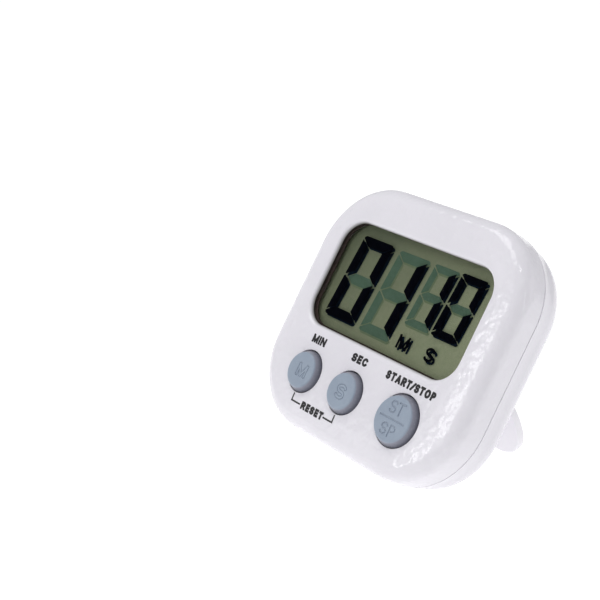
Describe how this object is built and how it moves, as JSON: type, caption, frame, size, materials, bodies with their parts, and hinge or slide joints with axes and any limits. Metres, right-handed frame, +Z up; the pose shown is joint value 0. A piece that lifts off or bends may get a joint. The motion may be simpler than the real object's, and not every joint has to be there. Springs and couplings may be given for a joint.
{
  "type": "digital countdown timer",
  "caption": "Pocket countdown timer with a large seven-segment display, three rubber keys, magnets and a fold-out stand, shown leaning on the stand.",
  "frame": {"origin": "centre of the footprint of the timer standing on its opened stand, on the surface it stands on", "axes": "+X to the viewer's right along the width, +Y away from the viewer, +Z up; the front face leans back 32.7 degrees"},
  "size_m": [0.07, 0.0458, 0.0593],
  "materials": {
    "white_plastic": "polished white ABS",
    "key_rubber": "matte grey-blue silicone",
    "carbon_rubber": "matte",
    "black_foam": "matte",
    "clear_plastic": "clear, polished",
    "display_glass": "polished",
    "reflector_foil": "satin",
    "dark_plastic": "matte",
    "board_laminate": "solder mask",
    "epoxy": "cast",
    "steel": "plated",
    "magnet_plating": "nickel plated",
    "ceramic": "matte",
    "brass": "bright",
    "red_insulation": "matte",
    "black_insulation": "matte"
  },
  "bodies": {
    "root": {"front_housing": "white_plastic", "back_cover": "white_plastic", "display_window": "clear_plastic", "display_gasket": "black_foam", "lcd_front_glass": "display_glass", "lcd_rear_glass": "display_glass", "lcd_reflector": "reflector_foil", "lcd_holder": "dark_plastic", "zebra_strip": "carbon_rubber", "circuit_board": "board_laminate", "chip_cover": "epoxy", "crystal": "steel", "capacitor_1": "ceramic", "capacitor_2": "ceramic", "resistor": "epoxy", "key_membrane": "key_rubber", "piezo_plate": "brass", "piezo_ceramic": "ceramic", "battery_cell": "steel", "battery_spring": "steel", "battery_contact": "steel", "magnet_left": "magnet_plating", "magnet_right": "magnet_plating", "battery_wire_red": "red_insulation", "battery_wire_black": "black_insulation", "piezo_wire_red": "red_insulation", "piezo_wire_black": "black_insulation", "housing_screw_top_left": "steel", "housing_screw_top_right": "steel", "housing_screw_bottom_left": "steel", "housing_screw_bottom_right": "steel", "board_screw_left": "steel", "board_screw_right": "steel", "board_screw_top": "steel"},
    "min_key": {"min_key": "key_rubber", "min_pill": "carbon_rubber"},
    "sec_key": {"sec_key": "key_rubber", "sec_pill": "carbon_rubber"},
    "start_stop_key": {"start_stop_key": "key_rubber", "start_stop_pill": "carbon_rubber"},
    "stand": {"stand": "white_plastic"},
    "battery_door": {"battery_door": "white_plastic"}
  },
  "joints": [
    {"name": "min_press", "type": "slide", "parent": "root", "child": "min_key", "axis": [0, 0.8415, -0.5402], "range_m": [0, 0.0008], "stiffness_N_per_m": 1200, "springref_m": -0.0003},
    {"name": "sec_press", "type": "slide", "parent": "root", "child": "sec_key", "axis": [0, 0.8415, -0.5402], "range_m": [0, 0.0008], "stiffness_N_per_m": 1200, "springref_m": -0.0003},
    {"name": "start_stop_press", "type": "slide", "parent": "root", "child": "start_stop_key", "axis": [0, 0.8415, -0.5402], "range_m": [0, 0.0008], "stiffness_N_per_m": 1200, "springref_m": -0.0003},
    {"name": "stand_hinge", "type": "hinge", "parent": "root", "child": "stand", "pos_m": [0, 0.0092, 0.02819], "axis": [1, 0, 0], "range_deg": [-50.24, 0]},
    {"name": "battery_door_turn", "type": "hinge", "parent": "root", "child": "battery_door", "pos_m": [0, 0.01705, 0.03764], "axis": [0, 0.8415, -0.5402], "range_deg": [0, 60]}
  ]
}
